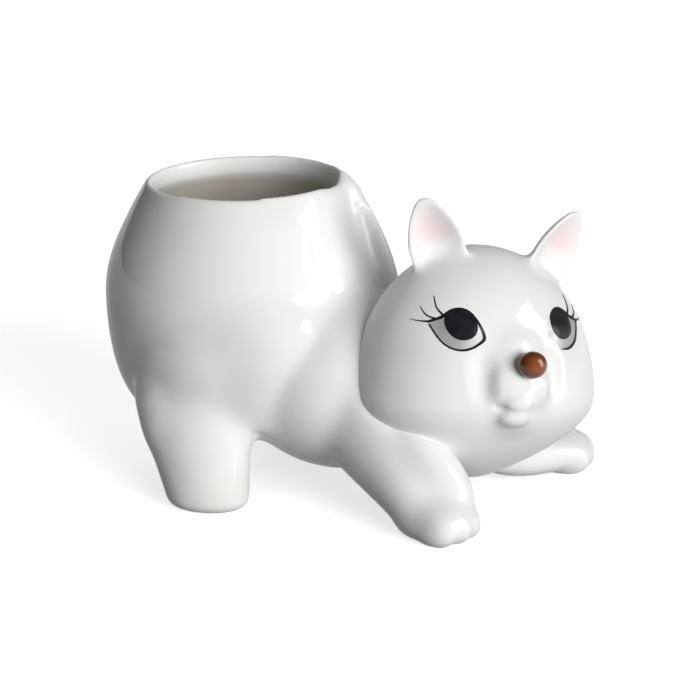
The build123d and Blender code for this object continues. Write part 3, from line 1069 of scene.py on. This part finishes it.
def facing(direction):
    """Rotation of a lamp or camera that stands in a direction and looks back along it."""
    return direction.to_track_quat("Z", "Y").to_euler()


class PLANTER_OT_stage(bpy.types.Operator):
    """Sets the pale floor, the soft lights and the camera"""

    bl_idname = "planter.stage"
    bl_label = "Stage"

    def execute(self, context):
        self.floor()
        self.world()
        self.lamps()
        self.camera()
        context.scene.view_settings.view_transform = "Standard"
        return {"FINISHED"}

    def floor(self):
        """Pale table that shows white with the object's shadow; it throws little light back up."""
        nothing_selected()
        bpy.ops.mesh.primitive_plane_add(size=FLOOR_SIZE)
        floor = bpy.context.object
        floor.name = "floor"
        material, tree = new_material("pale_table")
        path = node(tree, "ShaderNodeLightPath").outputs
        seen = path["Is Camera Ray"]
        for ray in ("Is Glossy Ray", "Is Transmission Ray"):
            seen = node(tree, "ShaderNodeMath", {0: seen, 1: path[ray]}, operation="MAXIMUM").outputs[0]
        top = node(tree, "ShaderNodeBsdfDiffuse", Color=linear(FLOOR_PALE))
        glow = node(tree, "ShaderNodeEmission", Color=linear(PLAIN_WHITE), Strength=FLOOR_GLOW)
        bright = node(tree, "ShaderNodeAddShader", {0: top.outputs[0], 1: glow.outputs[0]})
        dim = node(tree, "ShaderNodeBsdfDiffuse", Color=linear(FLOOR_DIM))
        mix = node(tree, "ShaderNodeMixShader", {0: seen, 1: dim.outputs[0], 2: bright.outputs[0]})
        node(tree, "ShaderNodeOutputMaterial", {"Surface": mix.outputs[0]})
        floor.data.materials.append(material)

    def world(self):
        """Even grey light from all round."""
        world = bpy.data.worlds.new("studio")
        world.use_nodes = True
        tree = world.node_tree
        tree.nodes.clear()
        light = node(tree, "ShaderNodeBackground", Color=linear(PLAIN_WHITE), Strength=ROOM_LIGHT)
        node(tree, "ShaderNodeOutputWorld", {"Surface": light.outputs[0]})
        bpy.context.scene.world = world

    def lamps(self):
        """Wide main light at the camera's right, level with the object, a weaker one behind the object,
        and a tall strip further round to the right, which only the reflections show."""
        for name, (strength, spread, stand) in SUNS.items():
            sun = bpy.data.lights.new(name, "SUN")
            sun.angle = math.radians(spread)
            sun.energy = strength
            lamp = in_scene(name, sun)
            lamp.rotation_euler = facing(from_view(*stand))
            lamp.visible_glossy = False
        strip = bpy.data.lights.new("strip_light", "AREA")
        strip.shape = "RECTANGLE"
        strip.size, strip.size_y = STRIP_SIZE
        strip.energy = STRIP_WATTS
        direction = from_view(*STRIP_STAND)
        lamp = in_scene("strip_light", strip)
        lamp.location = VIEW_TARGET + STRIP_RANGE * direction
        lamp.rotation_euler = facing(direction)
        lamp.visible_diffuse = False

    def camera(self):
        """Long lens at the photograph's viewing angle."""
        towards = from_view(0, 0, 1)
        data = bpy.data.cameras.new("camera")
        data.lens = LENS
        camera = in_scene("camera", data)
        camera.location = VIEW_TARGET + VIEW_RANGE * towards
        camera.rotation_euler = facing(towards)
        bpy.context.scene.camera = camera


OPERATORS = (
    PLANTER_OT_body,
    PLANTER_OT_head,
    PLANTER_OT_ear_linings,
    PLANTER_OT_eyes,
    PLANTER_OT_nose,
    PLANTER_OT_stage,
)


class PLANTER_PT_panel(bpy.types.Panel):
    """Lists the steps that dress the planter, with its sizes and colours"""

    bl_idname = "PLANTER_PT_panel"
    bl_label = "Glazed animal planter"
    bl_space_type = "VIEW_3D"
    bl_region_type = "UI"
    bl_category = "Planter"

    def draw(self, context):
        for operator in OPERATORS:
            self.layout.operator(operator.bl_idname)
        for group in (context.scene.planter_sizes, context.scene.planter_colours):
            for key in group.__annotations__:
                self.layout.prop(group, key)


CLASSES = (PlanterSizes, PlanterColours, *OPERATORS, PLANTER_PT_panel)


def register():
    """Registers the classes and puts the settings on the scene."""
    for cls in CLASSES:
        bpy.utils.register_class(cls)
    bpy.types.Scene.planter_sizes = bpy.props.PointerProperty(type=PlanterSizes)
    bpy.types.Scene.planter_colours = bpy.props.PointerProperty(type=PlanterColours)


def unregister():
    """Takes the settings and the classes away again."""
    del bpy.types.Scene.planter_colours
    del bpy.types.Scene.planter_sizes
    for cls in reversed(CLASSES):
        bpy.utils.unregister_class(cls)


def main():
    """Dresses the planter piece by piece."""
    register()
    for operator in OPERATORS:
        group, name = operator.bl_idname.split(".")
        getattr(getattr(bpy.ops, group), name)()


if __name__ == "__main__":
    main()
